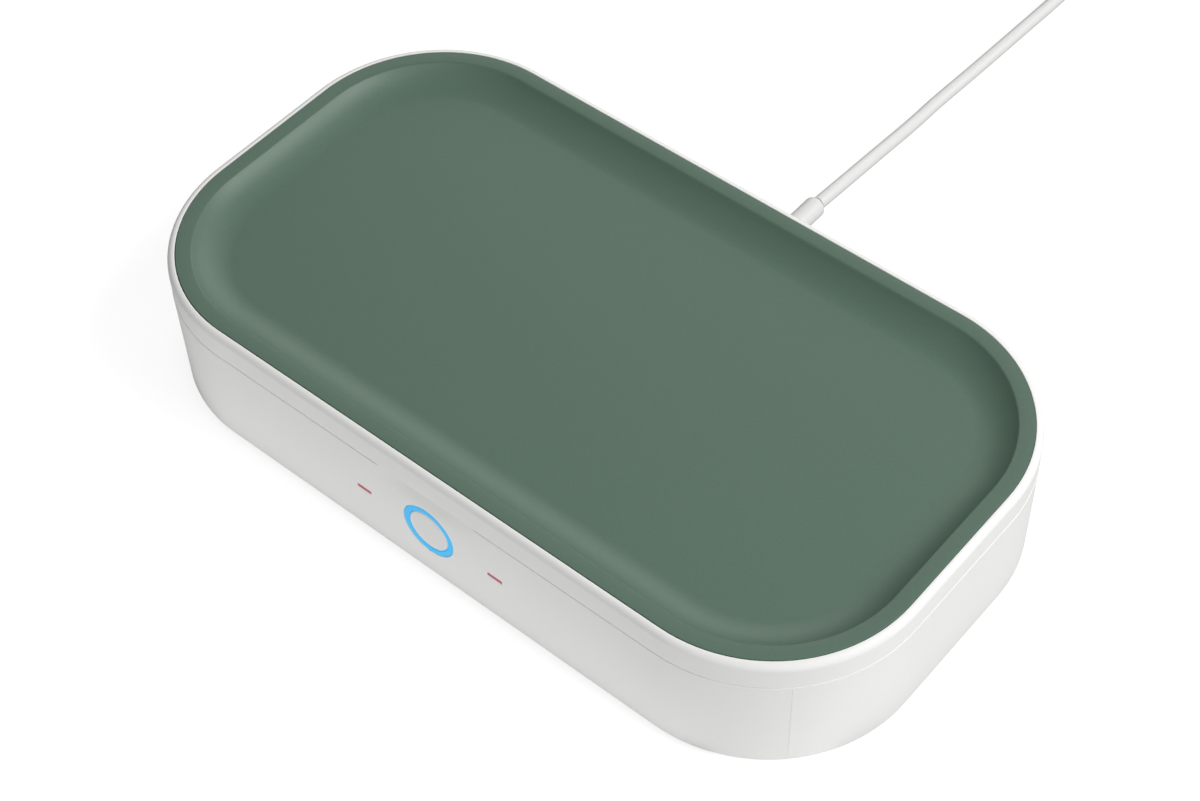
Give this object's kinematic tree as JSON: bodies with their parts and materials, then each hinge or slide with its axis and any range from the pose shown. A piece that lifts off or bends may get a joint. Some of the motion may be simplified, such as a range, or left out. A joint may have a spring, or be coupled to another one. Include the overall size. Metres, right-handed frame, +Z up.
{
  "type": "uv sanitizer box",
  "caption": "Rounded box that cleans a phone with ultraviolet light, with a hinged lid, a push button in a ring of light, a dished charging tray on top and a cord.",
  "frame": {"origin": "middle of the underside of the box with its feet and hinge, without the cord, on the surface that it stands on", "axes": "+X to the right along the length, +Y to the back where the hinge and the cord are, +Z up"},
  "size_m": [0.232, 0.3486, 0.0416],
  "materials": {
    "white_shell": "satin",
    "white_cover": "matte",
    "white_button": "satin",
    "green_tray": "matte",
    "blue_light": "satin",
    "red_light": "satin",
    "bright_liner": "polished",
    "circuit_board": "satin",
    "black_plastic": "satin",
    "steel": "satin",
    "magnet_plating": "polished",
    "window_glass": "polished",
    "copper": "satin",
    "ferrite": "matte",
    "foot_rubber": "matte",
    "seal_rubber": "matte",
    "lead_jacket": "satin",
    "cord_jacket": "satin",
    "tie_fabric": "matte"
  },
  "bodies": {
    "base": {"base_shell": "white_shell", "bottom_cover": "white_cover", "chamber_liner": "bright_liner", "main_board": "circuit_board", "front_board": "circuit_board", "port_board": "circuit_board", "button_switch": "black_plastic", "ring_light_guide": "blue_light", "power_socket": "steel", "base_harness": "lead_jacket", "lid_sensor": "circuit_board", "foot_front_left": "foot_rubber", "foot_front_right": "foot_rubber", "foot_back_left": "foot_rubber", "foot_back_right": "foot_rubber", "cover_screw_front_left": "steel", "cover_screw_front_right": "steel", "cover_screw_back_left": "steel", "cover_screw_back_right": "steel", "base_uv_window_left": "window_glass", "base_uv_window_right": "window_glass", "base_uv_board_left": "circuit_board", "base_uv_board_right": "circuit_board", "base_magnet_left": "magnet_plating", "base_magnet_right": "magnet_plating", "hinge_pin_left": "steel", "hinge_pin_right": "steel", "indicator_lens_left": "red_light", "indicator_lens_right": "red_light", "front_board_screw_left": "steel", "front_board_screw_right": "steel", "power_plug": "cord_jacket", "power_plug_shell": "steel", "power_cord": "cord_jacket", "cord_coil": "cord_jacket", "cord_tie": "tie_fabric", "usb_plug": "cord_jacket", "usb_plug_shell": "steel"},
    "lid": {"lid_frame": "white_shell", "charging_tray": "green_tray", "lid_inner_cover": "bright_liner", "light_seal": "seal_rubber", "charging_coil": "copper", "ferrite_sheet": "ferrite", "charging_board": "circuit_board", "lid_harness": "lead_jacket", "lid_screw_front_left": "steel", "lid_screw_front_right": "steel", "lid_screw_back_left": "steel", "lid_screw_back_right": "steel", "lid_uv_window_left": "window_glass", "lid_uv_window_right": "window_glass", "lid_uv_board_left": "circuit_board", "lid_uv_board_right": "circuit_board", "lid_magnet_left": "magnet_plating", "lid_magnet_right": "magnet_plating"},
    "power_button": {"button_cap": "white_button", "switch_plunger": "black_plastic"}
  },
  "joints": [
    {"name": "lid_hinge", "type": "hinge", "parent": "base", "child": "lid", "pos_m": [0, 0.06385, 0.0303], "axis": [-1, 0, 0], "range_deg": [0, 100]},
    {"name": "button_press", "type": "slide", "parent": "base", "child": "power_button", "axis": [0, 1, 0], "range_m": [0, 0.0008], "stiffness_N_per_m": 1500}
  ]
}
